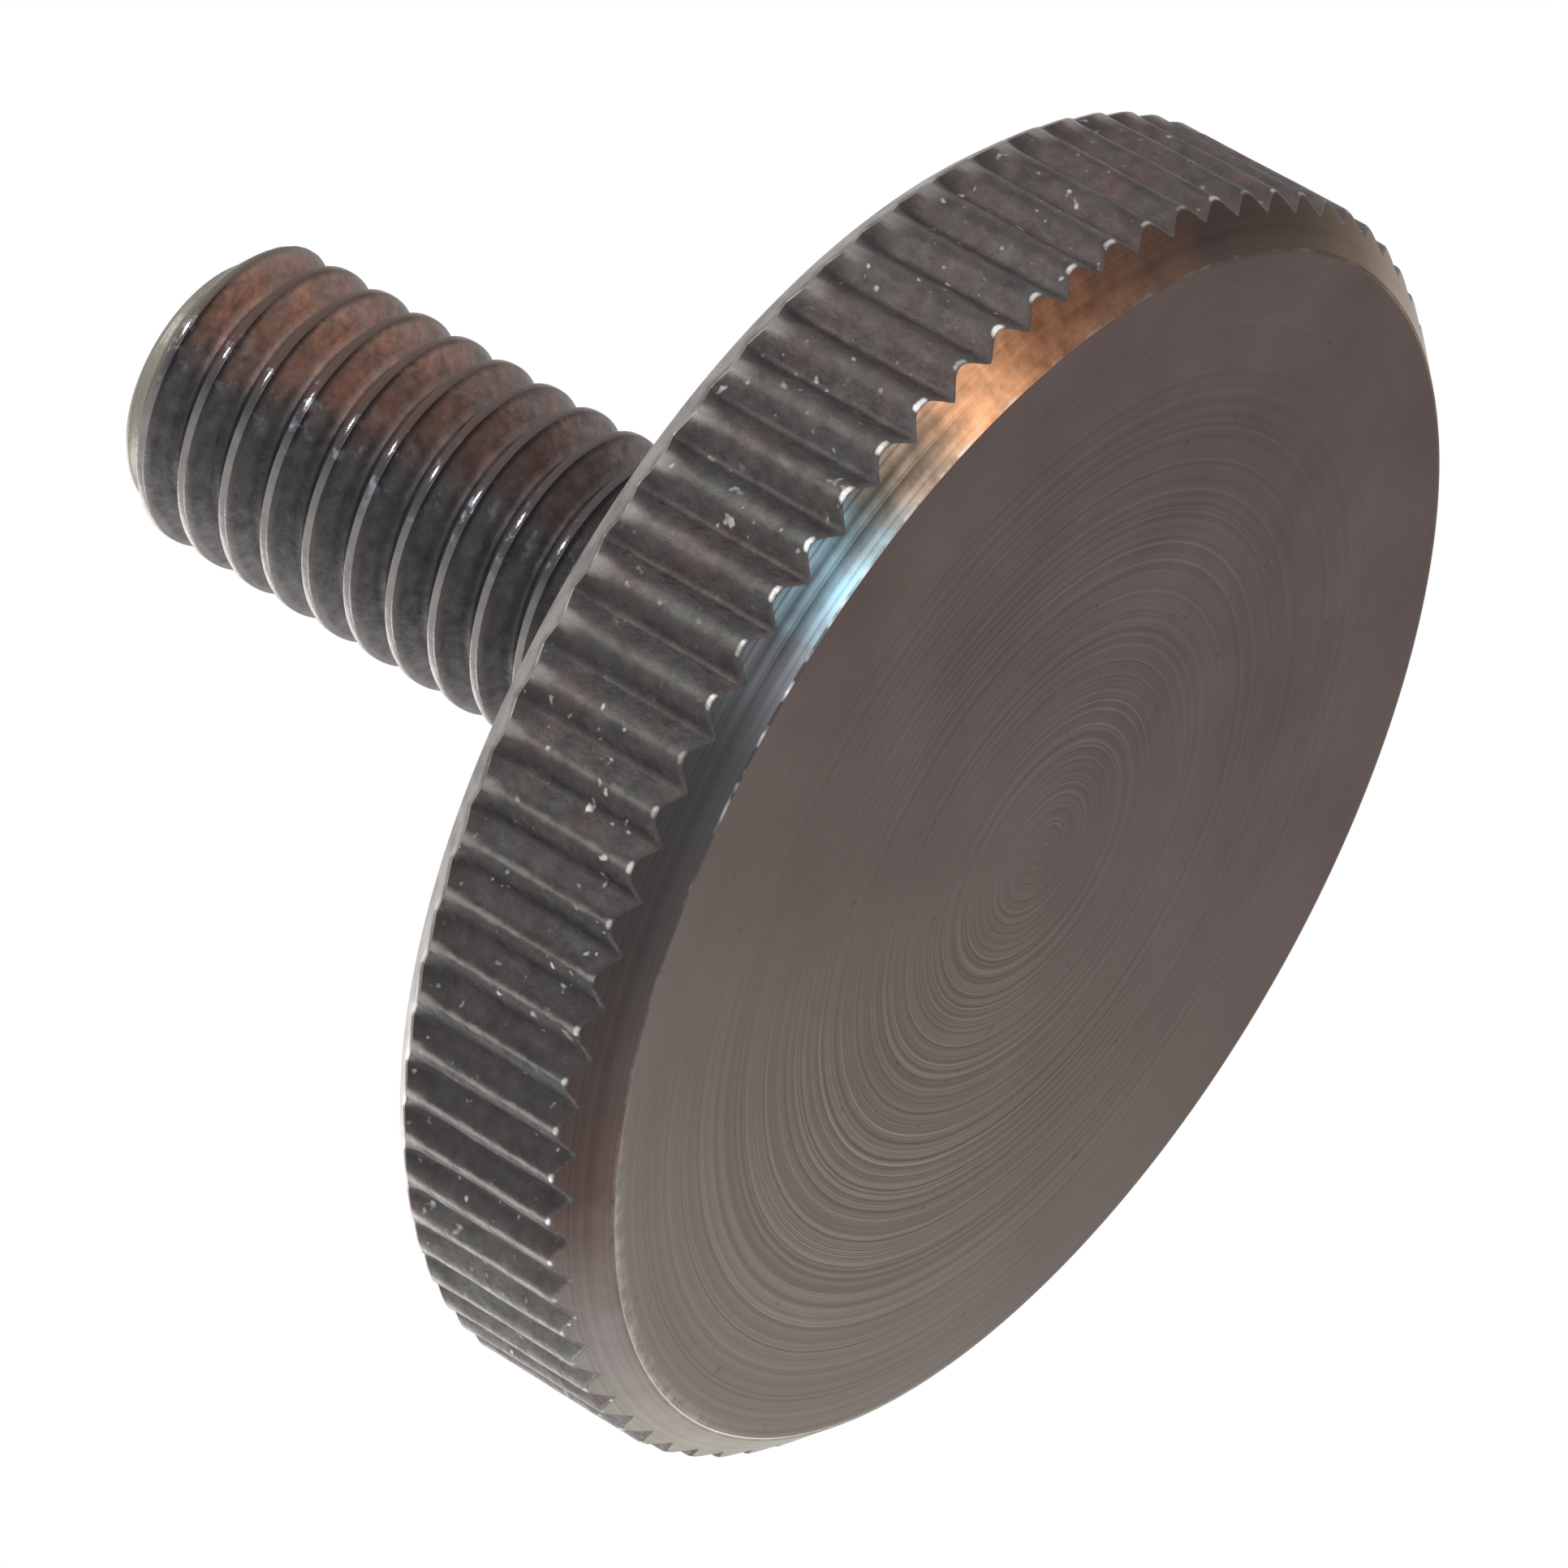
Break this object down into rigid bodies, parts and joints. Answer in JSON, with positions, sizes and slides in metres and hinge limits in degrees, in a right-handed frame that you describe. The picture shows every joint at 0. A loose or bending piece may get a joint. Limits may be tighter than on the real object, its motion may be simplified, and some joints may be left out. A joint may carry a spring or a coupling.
{
  "type": "thumb screw",
  "caption": "Flat knurled thumb screw: a wide, low disc head with a straight-knurled rim and bevelled edges on a short threaded shank, turned in one piece from blackened steel.",
  "frame": {"origin": "middle of the head's flat face, on the turning axis", "axes": "+Z along the shank from the head's face to the tip, X and Y across the head"},
  "size_m": [0.025, 0.025, 0.0195],
  "materials": {
    "blackened_steel": "black oxide on turned steel, dull on the face, worn bright on the bevel and the knurl's crests"
  },
  "bodies": {
    "root": {"thumb_screw": "blackened_steel"}
  },
  "joints": []
}
